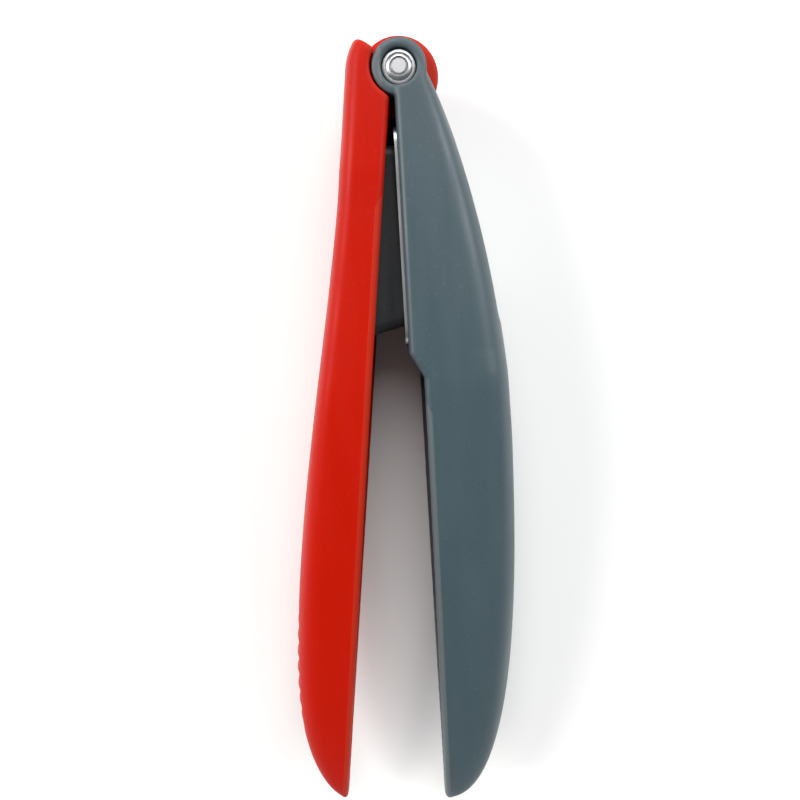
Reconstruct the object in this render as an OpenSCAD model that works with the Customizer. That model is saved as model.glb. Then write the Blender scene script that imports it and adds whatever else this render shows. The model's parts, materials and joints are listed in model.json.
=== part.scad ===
// Garlic press: a grey lower handle that carries a lift-out steel basket, and a red upper handle
// that carries the plunger, joined by one steel pin. It lies on its side, closed.
// In a handle's own frame, x runs from the hinge axis to the tip, y from the rim to the back, z across.

/* [Handles] */
// Hinge axis to the tips
reach = 182; // [176:1:188]
// Width across the flat sides of the head
width = 34; // [33:1:36]
// Angle between the two rims with the press closed
closed_angle = 7; // [6.5:0.5:8]
// Hinge axis to the rim of each grip
rim_y = 1.7; // [1.5:0.1:2]
// Side and end wall thickness
wall = 2.2; // [1.8:0.1:2.6]
// Back wall thickness
back_wall = 2.4; // [2:0.1:2.8]
// How far the basket head stands above the grip's rim
head_rise = 3; // [2.5:0.1:3]

/* [Hinge] */
// Radius of the lower handle's two ears
ear_r = 6; // [5.5:0.1:6.2]
// Radius of the upper handle's knuckle between the ears
knuckle_r = 9; // [8.5:0.1:9]
// Width of the knuckle
knuckle_w = 14; // [12:0.5:14]
// Radius of the hinge pin
pin_r = 2; // [1.5:0.1:2.5]

/* [Basket] */
// Length of the basket's flange
flange_l = 48; // [46:0.5:48]
// Width of the basket's flange
flange_w = 29.6; // [28.5:0.1:29.6]
// Sheet thickness
sheet = 0.6; // [0.5:0.1:0.8]
// Depth at the end away from the hinge
depth_far = 17.8; // [17:0.1:18]
// Depth at the hinge end
depth_near = 12.2; // [12:0.1:13]
// Radius of the holes in the floor
hole_r = 0.9; // [0.7:0.1:1]
// Distance between the holes
hole_pitch = 3.2; // [3:0.1:3.6]

/* [Hidden] */
$fn = 64;
half_w = width / 2;
head_y = rim_y - head_rise;          // the head's rim
slack = 0.35;                        // clearance between parts that move past each other
ear_gap = knuckle_w / 2 + slack;     // half the distance between the ears
ear_z = half_w - 0.6;                // outer face of each ear
ear_clear = ear_r + slack;           // radius of the hollow round the ears
pin_play = 0.05;                     // radial clearance of the pin in the knuckle
head_r = 3.6;                        // radius of the pin's head and of its retainer
head_t = 1.2;                        // thickness of each
sink = 1.6;                          // depth of the recess that holds each
tip_cut = 0.15;                      // the last ring of a handle stands this far short of its tip
arc_steps = 9;                       // points on each rounded corner of a ring
flat_share = 0.42;                   // share of a ring's depth that has flat sides
tip_power = 2.3;                     // how square the rounded corners are at the tips
head_power = 4;                      // and where a handle is at its widest
taper_x = 70;                        // where the flat sides of a handle begin to close in
basket_x0 = 12;                      // the flange's end near the hinge
basket_x1 = basket_x0 + flange_l;
flange_r = 3;                        // corner radius of the flange
ledge = 1.5;                         // width of the ledge under the flange
ledge_gap = 0.1;                     // clearance under the flange and around it
mouth = [14.6, 57.4, 12.1];          // inside of the basket at its mouth: two ends, half width
floor_in = [16.4, 52.0, 9.5];        // inside of the basket at its floor: two ends, half width
cup_r = 2.5;                         // corner radius inside the basket
window = [14.8, 56.2, 11.4];         // outlet through the back: two ends, half width
window_y = 8.5;                      // where the well narrows to the outlet
divider_x = basket_x1 + 3.4;         // far face of the wall behind the well
ramp_x = basket_x1 + 2;              // where the head steps down to the grip
ramp_l = 5.5;
channel_x = 14;                      // hinge end of the upper handle's channel
seat_y = 6;                          // top of the seat that holds the plunger
hook_angle = 30;                     // how far the upper handle wraps round the ears
seat_x = [17, 57];                   // ends of the seat
seat_z = 9;                          // half its width
plunger_base = [15.6, 60, 12.8];     // the plunger on its seat: two ends, half width
post_r = 3;                          // the two posts that hold the plunger in its seat
post_l = 3.8;
post_x = [25, 46];
cavity_end = 6;                      // solid length behind each tip
hinge_x = 6;                         // the hinge axis from the middle of the footprint
hinge_y = 86.4;
grey = [0.30, 0.37, 0.39];
red = [0.75, 0.10, 0.02];
charcoal = [0.15, 0.16, 0.17];
steel = [0.78, 0.79, 0.80];

// ---- outlines: distance from the hinge axis to the back, and half the width ----

function grey_back(x) = x < 88
    ? ear_r + 16.7 * pow(max(0, 1 - pow((88 - x) / 88, 2)), 0.88)
    : rim_y + 21 * pow(max(0, 1 - pow((x - 88) / (reach - 88), 2.6)), 0.425);

function red_back(x) = x < 10 ? rim_y + 10.4
    : x < 125 ? rim_y + 10.4 + 5.2 * (1 + cos(180 * (125 - x) / 115)) / 2
    : rim_y + 15.6 * pow(max(0, 1 - pow((x - 125) / (reach - 125), 3)), 0.62);

function plan(x) = x < taper_x ? half_w
    : half_w * pow(max(0, 1 - pow((x - taper_x) / (reach - taper_x), 1.4)), 0.69);

function red_rim(x) = x < ear_clear ? max(rim_y, sqrt(ear_clear * ear_clear - x * x)) : rim_y;

function grey_rim(x) = x <= ramp_x ? head_y
    : x >= ramp_x + ramp_l ? rim_y
    : head_y + head_rise * (x - ramp_x) / ramp_l;

// ---- rings: flat sides, then rounded corners that meet at the middle of the back ----

function corner(t, power) = [pow(abs(cos(t)), 2 / power), pow(abs(sin(t)), 2 / power)];

function ring(x, top, back, half, rim) = let (
        flat_y = max(top + 0.1, rim + flat_share * (back - rim)),
        low = back - flat_y,
        power = tip_power + (head_power - tip_power) * pow(half / half_w, 2),
        arc = [for (i = [0:arc_steps]) let (c = corner(90 * i / arc_steps, power))
               [x, flat_y + low * c[1], half * c[0]]])
    concat([[x, top, half]], arc,
           [for (i = [arc_steps - 1:-1:0]) [x, arc[i][1], -arc[i][2]]],
           [[x, top, -half]]);

// A closed solid through a list of rings that all have the same number of points
module loft(rings) {
    n = len(rings[0]);
    last = len(rings) - 1;
    sides = [for (k = [0:last - 1], i = [0:n - 1])
             let (j = (i + 1) % n, a = k * n + i, b = k * n + j, c = a + n, d = b + n)
             each [[a, b, d], [a, d, c]]];
    polyhedron(points = [for (r = rings) each r],
               faces = concat(sides, [[for (i = [n - 1:-1:0]) i]], [[for (i = [0:n - 1]) last * n + i]]),
               convexity = 6);
}

// Stations from x0 to x1, closer together towards the tip
function stations(x0, x1, n) = [for (i = [0:n]) x0 + (x1 - x0) * (1 - pow(1 - i / n, 1.6))];

// ---- shapes used more than once ----

// A rectangle from x0 to x1, with rounded corners, centred on y = 0
module rounded(x0, x1, half, r) {
    translate([x0 + r, -half]) square([x1 - x0 - 2 * r, 2 * half]);
    translate([x0, -half + r]) square([x1 - x0, 2 * (half - r)]);
    for (x = [x0 + r, x1 - r], y = [-half + r, half - r]) translate([x, y]) circle(r);
}

// The same rectangle as a block through the head, from y0 to y1
module pocket(x0, x1, half, r, y0, y1) {
    translate([0, y0, 0]) rotate([-90, 0, 0]) linear_extrude(y1 - y0) rounded(x0, x1, half, r);
}

module axle(r, z0, z1) {
    translate([0, 0, z0]) cylinder(h = z1 - z0, r = r);
}

// Puts a handle's frame in place: the lower one as it is, the upper one turned over and opened
module place_lower() {
    translate([hinge_x, hinge_y, half_w]) rotate([0, 0, -90]) children();
}
module place_upper() {
    place_lower() rotate([0, 0, -closed_angle]) rotate([180, 0, 0]) children();
}

// ---- rings of each handle ----

function turned(points, a) = [for (p = points)
    [p[0] * cos(a) - p[1] * sin(a), p[0] * sin(a) + p[1] * cos(a), p[2]]];

function grey_ring(x) = ring(x, grey_rim(x), grey_back(x), plan(x), grey_rim(x));
function red_ring(x) = ring(x, red_rim(x), red_back(x), plan(x), rim_y);
function grip_inside(x, back) = ring(x, head_y - 1, back - back_wall, plan(x) - wall, head_y - 1);

grey_x = concat([for (i = [0:10]) ramp_x * pow(i / 10, 1.3)],
                stations(ramp_x + ramp_l, reach - tip_cut, 26));
red_x = concat([for (b = [0:15:75]) ear_clear * sin(b)], stations(ear_clear + 1, reach - tip_cut, 32));
cavity_x1 = reach - cavity_end;

// ---- basket ----

floor_tilt = atan((depth_far - depth_near) / (floor_in[1] - floor_in[0]));

// The basket's inside grown by t, as a solid: its mouth at the flange, its floor tilted
module cup(t) {
    hull() {
        pocket(mouth[0] - t, mouth[1] + t, mouth[2] + t, cup_r + t, head_y, head_y + 0.1, $fn = 32);
        translate([floor_in[0], head_y + depth_near, 0]) rotate([0, 0, floor_tilt])
            pocket(-t, (floor_in[1] - floor_in[0]) / cos(floor_tilt) + t, floor_in[2] + t, cup_r + t,
                   t - 0.1, t, $fn = 32);
    }
}

module floor_holes() {
    floor_l = (floor_in[1] - floor_in[0]) / cos(floor_tilt);
    along = floor((floor_l - 2 * hole_r - 2) / hole_pitch);
    across = floor((2 * floor_in[2] - 2 * hole_r - 2) / hole_pitch);
    translate([floor_in[0], head_y + depth_near, 0]) rotate([0, 0, floor_tilt])
        for (i = [0:along], j = [0:across])
            translate([floor_l / 2 + (i - along / 2) * hole_pitch, -1, (j - across / 2) * hole_pitch])
                rotate([-90, 0, 0]) cylinder(h = sheet + 2, r = hole_r);
}

module basket() {
    color(steel) place_lower() difference() {
        union() {
            pocket(basket_x0, basket_x1, flange_w / 2, flange_r, head_y, head_y + sheet);
            cup(sheet);
        }
        cup(0);
        pocket(mouth[0], mouth[1], mouth[2], cup_r, head_y - 1, head_y + 0.05, $fn = 32);
        floor_holes();
    }
}

// ---- lower handle ----

module well() {
    fit = ledge_gap;
    pocket(basket_x0 - fit, basket_x1 + fit, flange_w / 2 + fit, flange_r + fit,
           head_y - 1, head_y + sheet + fit);
    pocket(basket_x0 + ledge, basket_x1 - ledge, flange_w / 2 - ledge, flange_r, head_y, window_y);
    pocket(window[0], window[1], window[2], flange_r, window_y - 1, rim_y + 25);
}

module lower_handle() {
    color(grey) place_lower() difference() {
        union() {
            loft([for (x = grey_x) grey_ring(x)]);
            axle(ear_r, -ear_z, ear_z);
        }
        loft([for (x = stations(divider_x, cavity_x1, 26)) grip_inside(x, grey_back(x))]);
        well();
        axle(knuckle_r + slack, -ear_gap, ear_gap);
        axle(pin_r, -half_w, half_w);
        axle(head_r + slack, -half_w - 1, -ear_z + sink);
        axle(head_r + slack, ear_z - sink, half_w + 1);
    }
}

// ---- upper handle ----

module seat() {
    translate([0, 0, -seat_z]) linear_extrude(2 * seat_z)
        polygon([[seat_x[0], seat_y], [seat_x[1], seat_y],
                 [seat_x[1], red_back(seat_x[1]) - back_wall / 2],
                 [seat_x[0], red_back(seat_x[0]) - back_wall / 2]]);
}

module upper_handle() {
    color(red) place_upper() difference() {
        union() {
            difference() {
                loft(concat([for (a = [hook_angle:-10:10]) turned(red_ring(0), a)],
                            [for (x = red_x) red_ring(x)]));
                loft([for (x = stations(channel_x, cavity_x1, 28)) grip_inside(x, red_back(x))]);
            }
            axle(knuckle_r, -knuckle_w / 2, knuckle_w / 2);
            seat();
        }
        axle(pin_r + pin_play, -half_w, half_w);
        for (x = post_x) translate([x, seat_y - 1, 0]) rotate([-90, 0, 0])
            cylinder(h = post_l + 1.2, r = post_r + 0.02);
    }
}

// ---- plunger and hinge pin ----

module plunger() {
    gap = slack;
    color(charcoal) union() {
        hull() {
            place_upper() pocket(plunger_base[0], plunger_base[1], plunger_base[2], cup_r,
                                 seat_y - 0.5, seat_y, $fn = 32);
            place_lower() translate([floor_in[0], head_y + depth_near - gap, 0])
                rotate([0, 0, floor_tilt])
                    pocket(gap, (floor_in[1] - floor_in[0]) / cos(floor_tilt) - gap, floor_in[2] - gap,
                           cup_r - gap, -0.5, 0, $fn = 32);
        }
        place_upper() for (x = post_x) translate([x, seat_y - 1, 0]) rotate([-90, 0, 0])
            cylinder(h = post_l + 1, r = post_r);
    }
}

module hinge_pin() {
    color(steel) place_lower() {
        axle(pin_r, -ear_z + sink - head_t, ear_z - 0.2);
        axle(head_r, -ear_z + sink - head_t, -ear_z + sink);
    }
}

module pin_retainer() {
    color(steel) place_lower() difference() {
        axle(head_r, ear_z - sink, ear_z - sink + head_t);
        axle(pin_r, 0, half_w);
    }
}

lower_handle();
upper_handle();
plunger();
basket();
hinge_pin();
pin_retainer();
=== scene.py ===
"""Looks of the garlic press. Outlines are worked out in millimetres in each handle's own frame
(x from the hinge axis to the tip, y from the rim to the back, z across), then placed in the row frame."""
import json
import math

import bmesh
import bpy
import numpy as np
from mathutils import Matrix, Vector


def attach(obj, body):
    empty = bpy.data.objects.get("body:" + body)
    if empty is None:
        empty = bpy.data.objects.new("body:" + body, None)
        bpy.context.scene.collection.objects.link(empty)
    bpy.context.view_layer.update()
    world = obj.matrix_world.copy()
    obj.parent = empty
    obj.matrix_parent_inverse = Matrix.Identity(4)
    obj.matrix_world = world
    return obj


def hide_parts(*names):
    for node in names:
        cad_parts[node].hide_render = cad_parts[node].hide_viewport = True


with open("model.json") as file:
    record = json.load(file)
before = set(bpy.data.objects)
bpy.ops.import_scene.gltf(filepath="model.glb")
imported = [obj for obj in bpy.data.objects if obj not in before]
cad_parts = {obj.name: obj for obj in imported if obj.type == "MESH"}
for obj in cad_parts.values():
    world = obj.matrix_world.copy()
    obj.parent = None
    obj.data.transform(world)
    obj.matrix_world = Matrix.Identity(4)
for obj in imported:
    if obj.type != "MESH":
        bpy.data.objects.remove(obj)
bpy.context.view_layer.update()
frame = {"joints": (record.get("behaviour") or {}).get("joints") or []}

MM = 0.001
HINGE = Vector(frame["joints"][0]["pos_m"])

# ---- sizes in millimetres, as in the CAD ----

REACH = 182.0            # hinge axis to the tips
HALF_W = 17.0            # half the width across the flat sides
CLOSED = math.radians(7)
RIM_Y = 1.7
WALL, BACK_WALL = 2.2, 2.4
HEAD_Y = -1.3            # rim of the basket head
SLACK, PIN_PLAY = 0.35, 0.05     # clearance between moving parts, and of the pin in the knuckle
EAR_R, EAR_CLEAR, EAR_Z = 6.0, 6.35, 16.4
KNUCKLE_R, KNUCKLE_Z = 9.0, 7.0
PIN_R, HEAD_R, HEAD_T, SINK = 2.0, 3.6, 1.2, 1.6
FLANGE = (12.0, 60.0, 14.8)      # ends and half width of the basket's flange
LEDGE, LEDGE_GAP = 1.5, 0.1      # width of the ledge under the flange, and the clearance round it
MOUTH = (14.6, 57.4, 12.1)       # inside of the basket at its mouth
FLOOR = (16.4, 52.0, 9.5)        # inside of the basket at its floor
DEPTH_NEAR, DEPTH_FAR = 12.2, 17.8
SHEET = 0.6
CUP_R, FLANGE_R = 2.5, 3.0
HOLE_R, HOLE_PITCH, HOLE_MARGIN = 0.9, 3.2, 1.0
WINDOW, WINDOW_Y = (14.8, 56.2, 11.4), 8.5
DIVIDER_X, RAMP_X, RAMP_L = 63.4, 62.0, 5.5
CHANNEL_X, CAVITY_END = 14.0, 6.0
SEAT_Y, SEAT_X, SEAT_Z = 6.0, (17.0, 57.0), 9.0
PLUNGER = (15.6, 60.0, 12.8)
HOOK = math.radians(30)
TAPER_X, FLAT_SHARE = 70.0, 0.42
GREY_X, GREY_HEAD, GREY_GRIP = 88.0, 16.7, 21.0                # the deepest section, and depths there
NECK_X, RED_X, RED_NECK, RED_GRIP = 10.0, 125.0, 10.4, 15.6    # the shallowest and deepest sections
TIP_POWER, HEAD_POWER = 2.3, 4.0   # how square the rounded corners are

# ---- sizes of the finer shapes ----

CELL = 0.5               # size of the cells that the handles are meshed in
BAND_W, BAND_T, BAND_SLOPE = 1.5, 0.22, 0.3   # the raised band along each grip's rim
BAND_EDGE, BAND_FADE = 1.4, 8.0    # height of its soft lower edge, and the length it comes in over
SLOPE_END, SLOPE_FADE = 4.0, 14.0  # how far from the tips its slope ends, and the length it fades over
BAND_REACH = 3.0         # how far below the rim the band's own values run
GREY_BAND, RED_BAND = 68.0, 22.0   # where the bands start
LIP = 1.9                # how widely the rims are rounded over
RIB_X, RIB_L, RIB_SHARE, RIB_DEPTH, RIB_PITCH = 142.0, 27.0, 0.62, 0.45, 4.5   # the ribbed oval
EDGE_ANGLE = 35          # edges sharper than this, in degrees, are shaded as edges
BEND, RIM = "bend", "rim"     # attributes: how sharply a handle's surface bends, and how near its rim is


# ---- outlines ----

def closing(x, start, power, curve):
    """From 1 as far as start down to 0 at the tips."""
    return np.maximum(0, 1 - (np.maximum(x - start, 0) / (REACH - start)) ** power) ** curve


def grey_back(x):
    """Hinge axis to the lower handle's back."""
    head = EAR_R + GREY_HEAD * np.maximum(0, 1 - ((GREY_X - x) / GREY_X) ** 2) ** 0.88
    grip = RIM_Y + GREY_GRIP * closing(x, GREY_X, 2.6, 0.425)
    return np.where(x < GREY_X, head, grip)


def red_back(x):
    """Hinge axis to the upper handle's back."""
    along = (RED_X - np.clip(x, NECK_X, RED_X)) / (RED_X - NECK_X)
    head = RIM_Y + RED_NECK + (RED_GRIP - RED_NECK) / 2 * (1 + np.cos(np.pi * along))
    grip = RIM_Y + RED_GRIP * closing(x, RED_X, 3, 0.62)
    return np.where(x < RED_X, head, grip)


def plan(x):
    """Half the width of either handle."""
    return HALF_W * closing(x, TAPER_X, 1.4, 0.69)


def grey_rim(x):
    return np.clip(HEAD_Y + (RIM_Y - HEAD_Y) * (x - RAMP_X) / RAMP_L, HEAD_Y, RIM_Y)


def red_rim(x):
    return np.full_like(x, RIM_Y)


def open_rim(x):
    """Above both rims, so that a hollow with this rim is open at its top."""
    return np.full_like(x, HEAD_Y - 1)


# ---- distance fields: negative inside, in millimetres ----

def smax(a, b, k):
    """The larger of two fields, with the edge between them rounded over about k."""
    h = np.maximum(k - np.abs(a - b), 0) / k
    return np.maximum(a, b) + h * h * k / 4


def smin(a, b, k):
    return -smax(-a, -b, k)


def trough(x, y, z, rim, back, half):
    """A long form with flat sides and rounded corners at its back, open towards -y."""
    least, step, least_slope = 0.25, 0.05, 0.03    # smallest half size, step for slopes, smallest slope

    def level(x, y, z):
        top, low_y, wide = rim(x), back(x), np.maximum(half(x), least)
        flat = top + FLAT_SHARE * (low_y - top)
        u = np.maximum(y - flat, 0) / np.maximum(low_y - flat, least)
        power = TIP_POWER + (HEAD_POWER - TIP_POWER) * (wide / HALF_W) ** 2
        return (u ** power + (np.abs(z) / wide) ** power) ** (1 / power) - 1

    f = level(x, y, z)
    gx = level(x + step, y, z) - f
    gy = level(x, y + step, z) - f
    gz = level(x, y, z + step * np.where(z < 0, -1, 1)) - f
    slope = np.sqrt(gx * gx + gy * gy + gz * gz) / step
    return f / np.maximum(slope, least_slope)


def rectangle(x, z, ends, r):
    """A rectangle with rounded corners, from above; ends holds its two ends and its half width."""
    cx, hx = (ends[0] + ends[1]) / 2, (ends[1] - ends[0]) / 2
    dx = np.abs(x - cx) - hx + r
    dz = np.abs(z) - ends[2] + r
    return np.hypot(np.maximum(dx, 0), np.maximum(dz, 0)) + np.minimum(np.maximum(dx, dz), 0) - r


def grown(ends, t):
    return ends[0] - t, ends[1] + t, ends[2] + t


def disc(x, y, z, r, half, k):
    """A flat cylinder about the hinge axis, its edges rounded over k."""
    return smax(np.hypot(x, y) - r, np.abs(z) - half, k)


def band_share(x, start):
    """0 before the band starts and 1 where it has come in."""
    return np.clip((x - start) / BAND_FADE, 0, 1)


def band(x, y, rim, start):
    """How far the side stands back: below the raised band along the rim, and over the band's slope."""
    below = np.clip((y - rim - BAND_W) / BAND_EDGE + 0.5, 0, 1)
    slope = np.clip(1 - (y - rim) / (1.5 * BAND_W), 0, 1)
    slope = slope * np.clip((REACH - SLOPE_END - x) / SLOPE_FADE, 0, 1)
    depth = BAND_T * below * below * (3 - 2 * below) + BAND_SLOPE * slope * slope
    return depth * band_share(x, start)


def near_rim(x, y, rim, start):
    """Above BAND_REACH - BAND_W on the band, and less the farther a point is from it."""
    missing = (BAND_REACH + 1) * (1 - band_share(x, start))
    return np.clip(BAND_REACH - (y - rim) - missing, 0, BAND_REACH)


def grip_hollow(x, y, z, back, start, k):
    """The space inside a handle, open at its rim, from start to just short of its tip."""
    space = trough(x, y, z, open_rim, lambda x: back(x) - BACK_WALL, lambda x: plan(x) - WALL)
    return smax(smax(space, start - x, k), x - (REACH - CAVITY_END), 2.0)


def lower_field(x, y, z):
    """The lower handle: head with the basket's well and ledge, hollow grip, ears and pin recesses."""
    rim = grey_rim(x)
    out = trough(x, y, z, grey_rim, grey_back, plan) + band(x, y, rim, GREY_BAND)
    f = smax(smax(out, rim - y, LIP), -x, 0.4)
    f = smin(f, disc(x, y, z, EAR_R, EAR_Z, 0.7), 0.5)
    f = smax(f, -grip_hollow(x, y, z, grey_back, DIVIDER_X, 3.0), 0.9)
    well = smax(rectangle(x, z, grown(FLANGE, -LEDGE), FLANGE_R), y - WINDOW_Y, 1.0)
    f = smax(f, -well, 0.5)
    f = smax(f, -rectangle(x, z, WINDOW, FLANGE_R), 0.7)
    seat = rectangle(x, z, grown(FLANGE, LEDGE_GAP), FLANGE_R)
    f = smax(f, -smax(seat, y - (HEAD_Y + SHEET + LEDGE_GAP), 0.15), 0.35)
    f = smax(f, -disc(x, y, z, KNUCKLE_R + SLACK, KNUCKLE_Z + SLACK, 0.4), 0.5)
    f = smax(f, PIN_R - np.hypot(x, y), 0.3)
    recess = smax(np.hypot(x, y) - HEAD_R - SLACK, EAR_Z - SINK - np.abs(z), 0.3)
    return smax(f, -recess, 0.5)


def ribs(x, z):
    """A shallow oval panel in the back of the upper grip, with cross ribs that reach its surface."""
    across = z / (RIB_SHARE * np.maximum(plan(x), 0.5))
    oval = np.clip(1.6 - 1.6 * np.hypot((x - RIB_X) / RIB_L, across), 0, 1)
    wave = 0.5 - 0.5 * np.cos(2 * np.pi * x / RIB_PITCH)
    return RIB_DEPTH * np.minimum(oval * 3, 1) * wave


def upper_field(x, y, z):
    """The upper handle: end wall hooked over the ears, knuckle, hollow grip and the plunger's seat."""
    r = np.hypot(x, y)
    along = np.maximum(x, 0)
    deep = np.where(x < 0, r, y)                 # behind the hinge axis the section turns round it
    out = trough(along, deep, z, red_rim, red_back, plan) + band(x, y, RIM_Y, RED_BAND)
    out = out + ribs(x, z) * np.clip((deep - 0.6 * red_back(along)) / 3, 0, 1)
    f = smax(out, RIM_Y - deep, LIP)
    f = smax(f, -x * math.cos(HOOK) - y * math.sin(HOOK), 0.9)
    f = smax(f, EAR_CLEAR - r, 0.8)
    f = smin(f, disc(x, y, z, KNUCKLE_R, KNUCKLE_Z, 0.7), 0.25)
    f = smax(f, -grip_hollow(x, y, z, red_back, CHANNEL_X, 2.5), 0.9)
    seat = smax(smax(np.maximum(SEAT_X[0] - x, x - SEAT_X[1]), np.abs(z) - SEAT_Z, 2.0), SEAT_Y - y, 0.5)
    f = smin(f, np.maximum(seat, out + WALL - 1), 1.0)
    return smax(f, PIN_R + PIN_PLAY - r, 0.3)


def floor_frame():
    """The slope and the length of the basket's floor."""
    tilt = math.atan((DEPTH_FAR - DEPTH_NEAR) / (FLOOR[1] - FLOOR[0]))
    length = (FLOOR[1] - FLOOR[0]) / math.cos(tilt)
    return tilt, length


# ---- a mesh of quads on the zero level of a field ----

def edge_ends(quads):
    """Both ends of every edge, each edge in both directions."""
    ends = np.concatenate([quads[:, [i, (i + 1) % 4]] for i in range(4)])
    return np.concatenate([ends, ends[:, ::-1]])


def gradient(field, p):
    """The field and its slopes at the points."""
    step = 0.03
    f = field(*p.T)
    g = np.stack([field(*(p + step * np.eye(3)[i]).T) - f for i in range(3)], 1) / step
    return f, g


def settle(field, p, quads, rounds):
    """Moves the vertices onto the surface and evens them out along it."""
    ends = edge_ends(quads)
    count = np.bincount(ends[:, 0], minlength=len(p))[:, None]
    for i in range(rounds):
        f, g = gradient(field, p)
        size = np.maximum(np.linalg.norm(g, axis=1, keepdims=True), 0.3)
        move = -f[:, None] / size * g / size
        p = p + np.clip(move, -CELL / 2, CELL / 2)
        if i < rounds - 2:
            mean = np.stack([np.bincount(ends[:, 0], p[ends[:, 1], k], len(p)) for k in range(3)], 1)
            n = g / size
            slide = mean / count - p
            slide -= n * np.sum(slide * n, axis=1, keepdims=True)
            p = p + 0.5 * slide
    return p


def surface(field, lo, hi, rounds=6):
    """Vertices and quads of the surface inside a box: one vertex in each cell that it crosses."""
    lo, hi = np.array(lo, float), np.array(hi, float)
    size = np.ceil((hi - lo) / CELL).astype(int) + 1
    axes = [lo[i] + CELL * np.arange(size[i]) for i in range(3)]
    v = np.empty(size, np.float32)
    for i, x in enumerate(axes[0]):
        y, z = np.meshgrid(axes[1], axes[2], indexing="ij")
        v[i] = field(np.full_like(y, x), y, z)
    inside = v < 0
    corner = [(a, b, c) for a in (0, 1) for b in (0, 1) for c in (0, 1)]
    held = sum(inside[tuple(slice(o[k], size[k] - 1 + o[k]) for k in range(3))].astype(int)
               for o in corner)
    cells = np.argwhere((held > 0) & (held < 8))
    index = np.full(tuple(size - 1), -1)
    index[tuple(cells.T)] = np.arange(len(cells))
    total, hits = np.zeros((len(cells), 3)), np.zeros((len(cells), 1))
    for a in corner:
        for axis in range(3):
            if a[axis]:
                continue
            b = tuple(1 if k == axis else a[k] for k in range(3))
            va = v[tuple((cells + a).T)]
            vb = v[tuple((cells + b).T)]
            cross = (va < 0) != (vb < 0)
            t = np.where(cross, va / np.where(cross, va - vb, 1), 0)
            point = np.array(a)[None] + t[:, None] * (np.array(b) - np.array(a))[None]
            total += point * cross[:, None]
            hits += cross[:, None]
    p = lo + CELL * (cells + total / hits)
    quads = []
    for axis in range(3):
        b, c = (axis + 1) % 3, (axis + 2) % 3
        near = np.moveaxis(inside, axis, 0)
        flips = np.argwhere(near[1:] != near[:-1])
        where = np.empty_like(flips)
        where[:, axis] = flips[:, 0]
        rest = [k for k in range(3) if k != axis]
        where[:, rest[0]], where[:, rest[1]] = flips[:, 1], flips[:, 2]
        where = where[(where[:, b] > 0) & (where[:, c] > 0)]
        ring = []
        for db, dc in ((0, 0), (-1, 0), (-1, -1), (0, -1)):
            w = where.copy()
            w[:, b] += db
            w[:, c] += dc
            ring.append(index[tuple(w.T)])
        quad = np.stack(ring, 1)
        out = inside[tuple(where.T)]
        quad[~out] = quad[~out][:, ::-1]
        quads.append(quad)
    quads = np.concatenate(quads)
    return settle(field, p, quads, rounds), quads


def sharpness(field, p, quads):
    """How sharply the surface bends outward at each vertex, per millimetre."""
    ends = edge_ends(quads)
    count = np.bincount(ends[:, 0], minlength=len(p))
    n = gradient(field, p)[1]
    n /= np.linalg.norm(n, axis=1, keepdims=True)
    d = p[ends[:, 1]] - p[ends[:, 0]]
    turn = np.sum(d * (n[ends[:, 1]] - n[ends[:, 0]]), axis=1) / np.sum(d * d, axis=1)
    value = np.bincount(ends[:, 0], turn, len(p)) / count
    for _ in range(2):
        value = (value + np.bincount(ends[:, 0], value[ends[:, 1]], len(p)) / count) / 2
    return value


# ---- placing and naming pieces ----

def lower_place(p):
    """From the lower handle's frame to the row frame, in metres."""
    p = np.asarray(p, float)
    return np.stack([p[:, 1], -p[:, 0], p[:, 2]], 1) * MM + np.array(HINGE)


def upper_place(p):
    """From the upper handle's frame to the row frame, closed."""
    p = np.asarray(p, float)
    x = p[:, 0] * math.cos(CLOSED) - p[:, 1] * math.sin(CLOSED)
    y = -p[:, 0] * math.sin(CLOSED) - p[:, 1] * math.cos(CLOSED)
    return lower_place(np.stack([x, y, -p[:, 2]], 1))


def mesh_object(name, points, faces, smooth=True):
    mesh = bpy.data.meshes.new(name)
    mesh.from_pydata([tuple(q) for q in points], [], [tuple(int(i) for i in f) for f in faces])
    mesh.update()
    obj = bpy.data.objects.new(name, mesh)
    bpy.context.scene.collection.objects.link(obj)
    mesh.polygons.foreach_set("use_smooth", [smooth] * len(mesh.polygons))
    return obj


def outward(obj):
    """Turns every face of a closed mesh outward."""
    bm = bmesh.new()
    bm.from_mesh(obj.data)
    bmesh.ops.recalc_face_normals(bm, faces=bm.faces)
    bm.to_mesh(obj.data)
    bm.free()
    return obj


def finish_piece(obj, body, node, material):
    """Gives the object its material and body, and hides the CAD node that it takes the place of."""
    obj.data.materials.clear()
    obj.data.materials.append(material)
    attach(obj, body)
    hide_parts(node)
    return obj


# ---- materials ----

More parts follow.
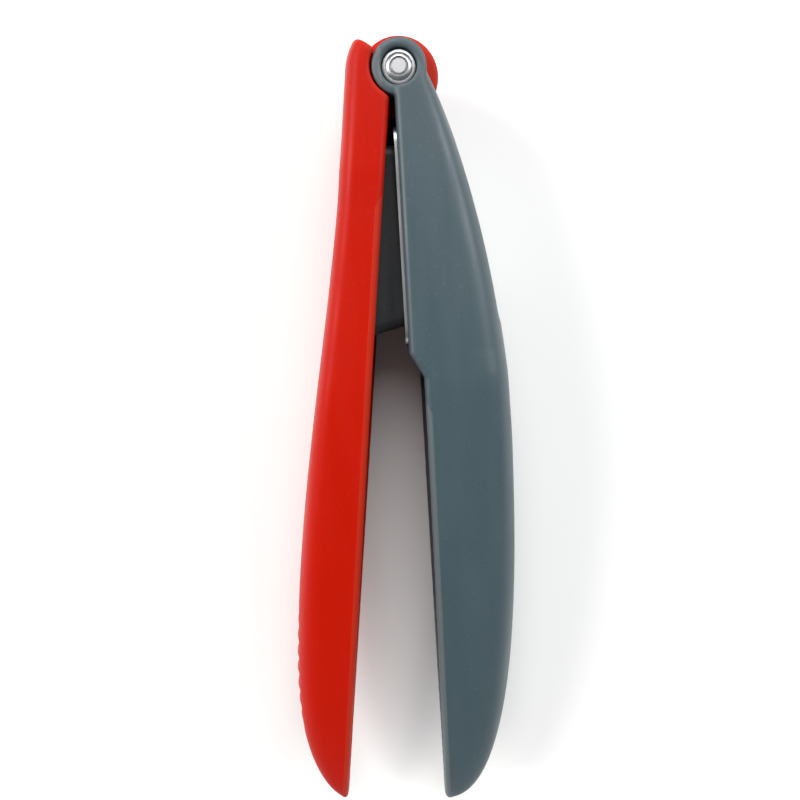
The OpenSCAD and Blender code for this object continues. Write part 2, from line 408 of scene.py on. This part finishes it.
class Nodes:
    """A short way to build a material's node tree."""

    def __init__(self, name):
        self.material = bpy.data.materials.new(name)
        self.material.use_nodes = True
        self.tree = self.material.node_tree
        self.shader = self.tree.nodes["Principled BSDF"]
        self.coord = self.add("ShaderNodeTexCoord").outputs["Object"]

    def add(self, kind, **inputs):
        node = self.tree.nodes.new(kind)
        for key, value in inputs.items():
            self.feed(node.inputs[key.replace("_", " ")], value)
        return node

    def feed(self, socket, value):
        if isinstance(value, bpy.types.NodeSocket):
            self.tree.links.new(value, socket)
        else:
            socket.default_value = value

    def stretch(self, scale):
        node = self.add("ShaderNodeMapping", Vector=self.coord)
        node.inputs["Scale"].default_value = scale
        return node.outputs["Vector"]

    def noise(self, scale, detail=3.0, rough=0.55, vector=None):
        node = self.add("ShaderNodeTexNoise", Vector=vector or self.coord, Scale=scale, Detail=detail,
                        Roughness=rough)
        return node.outputs["Fac"]

    def span(self, value, lo, hi, out_lo, out_hi):
        node = self.add("ShaderNodeMapRange", Value=value)
        for key, number in zip(("From Min", "From Max", "To Min", "To Max"), (lo, hi, out_lo, out_hi)):
            node.inputs[key].default_value = number
        return node.outputs["Result"]

    def mix(self, fac, a, b):
        node = self.tree.nodes.new("ShaderNodeMix")
        node.data_type = "RGBA"
        self.feed(node.inputs["Factor"], fac)
        for socket, value in ((node.inputs[6], a), (node.inputs[7], b)):
            self.feed(socket, (*value, 1) if isinstance(value, tuple) else value)
        return node.outputs[2]

    def math(self, kind, a, b):
        node = self.tree.nodes.new("ShaderNodeMath")
        node.operation = kind
        self.feed(node.inputs[0], a)
        self.feed(node.inputs[1], b)
        return node.outputs[0]

    def bump(self, height, strength, distance, normal=None):
        node = self.add("ShaderNodeBump", Height=height, Strength=strength, Distance=distance)
        if normal is not None:
            self.tree.links.new(normal, node.inputs["Normal"])
        return node.outputs["Normal"]

    def stored(self, name, lo, hi):
        """From 0 to 1 as the values stored on the mesh go from lo to hi; 0 on a mesh without them."""
        value = self.tree.nodes.new("ShaderNodeAttribute")
        value.attribute_name = name
        return self.span(value.outputs["Fac"], lo, hi, 0.0, 1.0)


def moulded(name, base, shade, worn_and_highlight, rough, grain, gloss):
    """Moulded plastic: mottled colour, spark-eroded grain, handling scuffs, paler edges from wear, and a
    painted highlight line along the rim band's lower edge.
    """
    n = Nodes(name)
    cloud = n.span(n.noise(55, 4), 0.3, 0.7, 0.0, 1.0)
    speck = n.span(n.noise(1400, 2), 0.62, 0.75, 0.0, 0.35)
    colour = n.mix(cloud, base, shade)
    colour = n.mix(speck, colour, worn_and_highlight)
    wear = n.math("MULTIPLY", n.stored(BEND, 0.25, 0.9), n.span(n.noise(260, 4), 0.35, 0.65, 0.45, 0.95))
    colour = n.mix(wear, colour, worn_and_highlight)
    edge, blur = BAND_REACH - BAND_W, 0.08       # the band's lower edge in the stored values
    painted_highlight_strip = n.stored(RIM, edge - blur, edge + blur)
    # painted highlight: a pale line along the band's lower edge, mixed 0.7 of the way to the pale edge
    # colour
    colour = n.mix(n.math("MULTIPLY", painted_highlight_strip, 0.7), colour, worn_and_highlight)
    scuff = n.noise(190, 5, 0.6, n.stretch((1.0, 0.12, 1.0)))
    rub = n.span(scuff, 0.42, 0.72, -0.05, 0.12)
    rough_map = n.math("ADD", n.math("ADD", n.span(cloud, 0, 1, rough - 0.04, rough + 0.05), rub),
                       n.math("MULTIPLY", wear, 0.12))
    fine = n.bump(n.noise(3200, 2), grain, 0.00006)
    soft = n.bump(n.noise(70, 2), 0.10, 0.0006, fine)
    soft = n.bump(painted_highlight_strip, 0.5, 0.00015, soft)
    n.feed(n.shader.inputs["Base Color"], colour)
    n.feed(n.shader.inputs["Roughness"], rough_map)
    n.feed(n.shader.inputs["Normal"], soft)
    n.shader.inputs["Specular IOR Level"].default_value = gloss
    return n.material


def steel(name, tone, rough, along):
    """Stainless steel with a fine brushed grain along one direction and cloudy roughness."""
    n = Nodes(name)
    streak = n.noise(900, 4, 0.6, n.stretch(along))
    cloud = n.noise(120, 4)
    dark = tuple(c * 0.90 for c in tone)
    colour = n.mix(n.span(streak, 0.3, 0.7, 0.0, 1.0), tone, dark)
    rough_map = n.math("ADD", n.span(streak, 0.3, 0.7, rough - 0.06, rough + 0.08),
                       n.span(cloud, 0.3, 0.7, -0.03, 0.05))
    n.feed(n.shader.inputs["Base Color"], colour)
    n.feed(n.shader.inputs["Roughness"], rough_map)
    n.feed(n.shader.inputs["Normal"], n.bump(streak, 0.05, 0.00005, n.bump(cloud, 0.03, 0.0003)))
    n.shader.inputs["Metallic"].default_value = 1.0
    return n.material


RED = moulded("red_plastic", base=(0.43, 0.0068, 0.0004), shade=(0.41, 0.0058, 0.0003),
              worn_and_highlight=(0.42, 0.026, 0.009), rough=0.42, grain=0.16, gloss=0.12)
GREY = moulded("grey_plastic", base=(0.046, 0.075, 0.089), shade=(0.041, 0.068, 0.081),
               worn_and_highlight=(0.100, 0.118, 0.124), rough=0.42, grain=0.40, gloss=0.50)
CHARCOAL = moulded("charcoal_plastic", base=(0.016, 0.017, 0.019), shade=(0.012, 0.013, 0.015),
                   worn_and_highlight=(0.05, 0.05, 0.055), rough=0.42, grain=0.30, gloss=0.40)
BASKET_STEEL = steel("basket_steel", tone=(0.62, 0.63, 0.64), rough=0.33, along=(1.0, 0.06, 1.0))
PIN_STEEL = steel("pin_steel", tone=(0.56, 0.56, 0.57), rough=0.36, along=(1.0, 1.0, 0.08))


# ---- pieces ----

def handle(name, field, rim, band_x, place, lo, hi, body, node, material):
    """A handle's mesh, with the values that its wear and its painted highlight line along the rim are drawn
    from.
    """
    points, quads = surface(field, lo, hi)
    obj = outward(mesh_object(name, place(points), quads))
    x, y = points[:, 0], points[:, 1]
    for key, values in ((BEND, sharpness(field, points, quads)), (RIM, near_rim(x, y, rim(x), band_x))):
        obj.data.attributes.new(key, "FLOAT", "POINT").data.foreach_set("value", values)
    return finish_piece(obj, body, node, material)


handle("lower_handle_shell", lower_field, grey_rim, GREY_BAND, lower_place,
       (-7, -6.8, -18.1), (183, 24, 18.2), "lower", "lower_handle", GREY)
handle("upper_handle_shell", upper_field, red_rim, RED_BAND, upper_place,
       (-10, -10, -18.1), (183, 19, 18.2), "upper", "upper_handle", RED)


def loop(ends, r, y, corner_steps=8, side_steps=12):
    """Points round a rectangle with rounded corners, at depth y."""
    x0, x1, half = ends
    centres = [(x1 - r, half - r, 0), (x0 + r, half - r, 90),
               (x0 + r, -half + r, 180), (x1 - r, -half + r, 270)]
    points = []
    for k, (cx, cz, start) in enumerate(centres):
        for i in range(corner_steps + 1):
            a = math.radians(start + 90 * i / corner_steps)
            points.append((cx + r * math.cos(a), y, cz + r * math.sin(a)))
        nx, nz, nstart = centres[(k + 1) % 4]
        a = math.radians(nstart)
        end = (nx + r * math.cos(a), nz + r * math.sin(a))
        last = points[-1]
        for i in range(1, side_steps):
            t = 0.5 - 0.5 * math.cos(math.pi * i / side_steps)    # closer together beside the corners
            points.append((last[0] + (end[0] - last[0]) * t, y, last[2] + (end[1] - last[2]) * t))
    return np.array(points)


def stitch(loops):
    """Faces between loops with the same number of points, and one that closes the last loop."""
    n = len(loops[0])
    faces = []
    for k in range(len(loops) - 1):
        for i in range(n):
            j = (i + 1) % n
            faces.append((k * n + i, k * n + j, (k + 1) * n + j, (k + 1) * n + i))
    faces.append(tuple((len(loops) - 1) * n + i for i in range(n)))
    return faces


def tilted(points, tilt):
    """Points drawn flat on the floor's own frame, laid on the tilted floor of the basket."""
    x = FLOOR[0] + points[:, 0] * math.cos(tilt) - points[:, 1] * math.sin(tilt)
    y = HEAD_Y + DEPTH_NEAR + points[:, 0] * math.sin(tilt) + points[:, 1] * math.cos(tilt)
    return np.stack([x, y, points[:, 2]], 1)


def rounded(a, corner, b, steps=5):
    """Loops along a rounded bend from a to b by way of a corner."""
    return [a * (1 - t) ** 2 + corner * 2 * t * (1 - t) + b * t * t for t in np.linspace(0, 1, steps)]


def unit(v):
    return v / np.linalg.norm(v, axis=1, keepdims=True)


def basket():
    """The cup and its flange as one skin, with the sheet's thickness added to it."""
    tilt, length = floor_frame()
    lip_r, rise, inset = 0.9, 1.6, 1.4    # rounding at the mouth, and up the wall and along the floor

    def inner(d):
        return tilted(loop((d, length - d, FLOOR[2] - d), max(CUP_R - d, 0.6), 0), tilt)

    mouth, floor = loop(MOUTH, CUP_R, HEAD_Y), inner(0)
    down = unit(floor - mouth)
    lip = loop(grown(MOUTH, lip_r), CUP_R + lip_r, HEAD_Y)
    loops = [loop(FLANGE, FLANGE_R, HEAD_Y), loop(grown(FLANGE, -0.5), FLANGE_R - 0.5, HEAD_Y)]
    loops += rounded(lip, mouth, mouth + down * lip_r)
    loops += [mouth + (floor - mouth) * t for t in (0.35, 0.65)]
    loops += rounded(floor - down * rise, floor, inner(inset), 6)
    obj = mesh_object("basket_cup", lower_place(np.concatenate(loops)), stitch(loops))
    solid = obj.modifiers.new("sheet", "SOLIDIFY")
    solid.thickness = SHEET * MM
    solid.offset = 1.0           # the sheet stands inside the skin; -1.0 puts it outside, as in the CAD
    solid.use_even_offset = True
    return obj, tilt, length


def pipe(start, direction, r, length, sides=20):
    """Points and faces of a closed cylinder."""
    d = Vector(direction).normalized()
    a = d.orthogonal().normalized()
    b = d.cross(a)
    points = []
    for end in (0, length):
        for i in range(sides):
            t = 2 * math.pi * i / sides
            points.append(Vector(start) + d * end + (a * math.cos(t) + b * math.sin(t)) * r)
    faces = [(i, (i + 1) % sides, sides + (i + 1) % sides, sides + i) for i in range(sides)]
    faces += [tuple(reversed(range(sides))), tuple(range(sides, 2 * sides))]
    return points, faces


def drill_floor(obj, tilt, length):
    """Cuts the grid of holes through the basket's floor."""
    taken = 2 * (HOLE_R + HOLE_MARGIN)
    along = math.floor((length - taken) / HOLE_PITCH)
    across = math.floor((2 * FLOOR[2] - taken) / HOLE_PITCH)
    points, faces = [], []
    for i in range(along + 1):
        for j in range(across + 1):
            x, z = length / 2 + (i - along / 2) * HOLE_PITCH, (j - across / 2) * HOLE_PITCH
            a, b = lower_place(tilted(np.array([[x, -1.0, z], [x, 2.0, z]]), tilt))
            p, f = pipe(a, b - a, HOLE_R * MM, float(np.linalg.norm(b - a)))
            faces += [tuple(len(points) + k for k in face) for face in f]
            points += p
    drill = outward(mesh_object("drill", points, faces, False))
    cut = obj.modifiers.new("holes", "BOOLEAN")
    cut.object = drill
    cut.solver = "EXACT"
    bake_modifiers(obj)
    bpy.data.objects.remove(drill)


def bake_modifiers(obj):
    """Applies the object's modifiers to its mesh."""
    graph = bpy.context.evaluated_depsgraph_get()
    mesh = bpy.data.meshes.new_from_object(obj.evaluated_get(graph))
    obj.modifiers.clear()
    obj.data = mesh


def shade_by_angle(obj):
    """Smooth shading that stops at sharp edges."""
    mesh = obj.data
    mesh.polygons.foreach_set("use_smooth", [True] * len(mesh.polygons))
    bm = bmesh.new()
    bm.from_mesh(mesh)
    for e in bm.edges:
        e.smooth = len(e.link_faces) == 2 and e.calc_face_angle(0) < math.radians(EDGE_ANGLE)
    bm.to_mesh(mesh)
    bm.free()


cup, cup_tilt, cup_length = basket()
drill_floor(cup, cup_tilt, cup_length)
shade_by_angle(cup)
finish_piece(cup, "basket", "basket", BASKET_STEEL)


def plunger():
    """The block that fits inside the basket's skin with a clearance of SLACK, down from its seat."""
    tilt, length = floor_frame()
    base = upper_place(loop(PLUNGER, CUP_R, SEAT_Y) * (1, 1, -1))    # the upper frame is turned over
    edge = 0.7           # rounding of the face's edge

    def face_loop(d, r):
        return lower_place(tilted(loop((d, length - d, FLOOR[2] - d), r, -SLACK), tilt))

    face, inset = face_loop(SLACK, CUP_R - SLACK), face_loop(SLACK + edge, 1.4)
    wall = unit(base - face)
    loops = [base] + [base + (face - base) * t for t in (0.03, 0.3, 0.6, 0.85)]
    loops += [face + wall * 0.85 * MM]
    loops += rounded(face + wall * edge * MM, face, inset, 6)
    middle = inset.mean(0)
    loops += [inset + (middle - inset) * t for t in (0.03, 0.3)]
    faces = stitch(loops) + [tuple(reversed(range(len(base))))]
    obj = outward(mesh_object("plunger_block", np.concatenate(loops), faces))
    shade_by_angle(obj)
    return obj


finish_piece(plunger(), "upper", "plunger", CHARCOAL)


def lathe(name, profile, steps=64):
    """A turned solid about the hinge axis; the profile runs from axis to axis as (radius, height) in mm."""
    points, faces, rings = [], [], []
    for r, h in profile:
        if r == 0:
            rings.append([len(points)])
            points.append((0, 0, h))
            continue
        rings.append(list(range(len(points), len(points) + steps)))
        points += [(r * math.cos(2 * math.pi * i / steps), r * math.sin(2 * math.pi * i / steps), h)
                   for i in range(steps)]
    for a, b in zip(rings, rings[1:]):
        for i in range(steps):
            j = (i + 1) % steps
            face = [a[i % len(a)], a[j % len(a)], b[j % len(b)], b[i % len(b)]]
            face = list(dict.fromkeys(face))
            if len(face) > 2:
                faces.append(face)
    obj = outward(mesh_object(name, lower_place(points), faces))
    shade_by_angle(obj)
    return obj


def rounded_corner(r, h, k, steps=4):
    """Profile points of a rounded corner between a flat end at height h and the side above it at r."""
    return [(r - k + k * math.sin(a), h + (k - k * math.cos(a)))
            for a in (math.pi / 2 * i / steps for i in range(steps + 1))]


head_z = -EAR_Z + SINK - HEAD_T
pin_profile = [(0, head_z + 0.35), (0.5, head_z + 0.3), (1.0, head_z)]
pin_profile += rounded_corner(HEAD_R, head_z, 0.45)
pin_profile += [(HEAD_R, head_z + HEAD_T), (PIN_R, head_z + HEAD_T), (PIN_R, EAR_Z - 0.7),
                (PIN_R - 0.5, EAR_Z - 0.2), (0, EAR_Z - 0.2)]
finish_piece(lathe("hinge_pin_turned", pin_profile), "lower", "hinge_pin", PIN_STEEL)

cap_z = EAR_Z - SINK
cap_profile = [(PIN_R + 0.02, cap_z), (HEAD_R, cap_z), (HEAD_R, cap_z + 0.5), (HEAD_R - 0.3, cap_z + 0.6),
               (HEAD_R - 0.6, cap_z + 0.6), (PIN_R + 0.5, cap_z + 1.05), (PIN_R + 0.2, cap_z + HEAD_T),
               (PIN_R + 0.02, cap_z + HEAD_T), (PIN_R + 0.02, cap_z)]
finish_piece(lathe("pin_retainer_cap", cap_profile), "lower", "pin_retainer", PIN_STEEL)


# ---- floor, light and camera ----

def stage():
    """A pale floor. The lamps light all of it, so that its edge is nearly as pale as the world past it."""
    n = Nodes("floor_white")
    n.feed(n.shader.inputs["Base Color"], n.mix(n.noise(6, 3), (0.92, 0.92, 0.915), (0.90, 0.90, 0.895)))
    n.feed(n.shader.inputs["Roughness"], n.span(n.noise(30, 3), 0.3, 0.7, 0.5, 0.6))
    radius, steps = 1.0, 96
    turns = [2 * math.pi * i / steps for i in range(steps)]
    floor = mesh_object("floor", [(radius * math.cos(a), radius * math.sin(a), 0) for a in turns],
                        [range(steps)], False)
    floor.data.materials.append(n.material)


def light(name, kind, place, target, power):
    """A light at a place, turned to a target."""
    data = bpy.data.lights.new(name, kind)
    data.energy = power
    obj = bpy.data.objects.new(name, data)
    bpy.context.scene.collection.objects.link(obj)
    obj.location = place
    obj.rotation_euler = (Vector(target) - Vector(place)).to_track_quat("-Z", "Y").to_euler()
    return data


def softbox(name, place, target, power, colour):
    """A round lamp with a broad face."""
    data = light(name, "AREA", place, target, power)
    data.shape = "DISK"
    data.size, data.color = 0.80, colour


def lights():
    """A world that is bright at the horizon and dim overhead, two lamps at the sides and one behind."""
    world = bpy.data.worlds.new("studio")
    bpy.context.scene.world = world
    world.use_nodes = True
    tree = world.node_tree
    background = tree.nodes["Background"]
    background.inputs["Color"].default_value = (1.0, 1.0, 1.0, 1)
    direction = tree.nodes.new("ShaderNodeTexCoord")
    split = tree.nodes.new("ShaderNodeSeparateXYZ")
    ramp = tree.nodes.new("ShaderNodeMapRange")
    for key, number in zip(("From Min", "From Max", "To Min", "To Max"), (0.08, 0.50, 1.0, 0.16)):
        ramp.inputs[key].default_value = number
    tree.links.new(direction.outputs["Generated"], split.inputs["Vector"])
    tree.links.new(split.outputs["Z"], ramp.inputs["Value"])
    tree.links.new(ramp.outputs["Result"], background.inputs["Strength"])
    middle = (0, -0.02, 0.02)
    softbox("key", (-1.10, 0.45, 0.80), middle, 17.0, (1.0, 0.985, 0.965))
    softbox("fill", (1.00, 0.50, 0.85), middle, 10.5, (0.98, 0.99, 1.0))
    light("rear", "SUN", (0.10, 1.15, 1.30), (0, 0, 0), 2.0).angle = math.radians(40)


def camera():
    """About 0.2 m above the hinge half, looking down and a little towards the tips, as in the photograph."""
    tilt, roll = math.radians(7.9), math.radians(-3.4)
    look = Vector((0, -math.sin(tilt), -math.cos(tilt)))
    right = look.cross(Vector((0, 1, 0))).normalized()
    up = right.cross(look)
    across = right * math.cos(roll) + up * math.sin(roll)
    above = up * math.cos(roll) - right * math.sin(roll)
    data = bpy.data.cameras.new("camera")
    data.sensor_width, data.lens = 36.0, 36.0
    data.clip_start = 0.01
    obj = bpy.data.objects.new("camera", data)
    turn = Matrix((across, above, -look)).transposed().to_4x4()
    obj.matrix_world = Matrix.Translation((0.002, 0.039, 0.213)) @ turn
    bpy.context.scene.collection.objects.link(obj)
    bpy.context.scene.camera = obj


stage()
lights()
camera()
bpy.context.scene.view_settings.view_transform = "Standard"
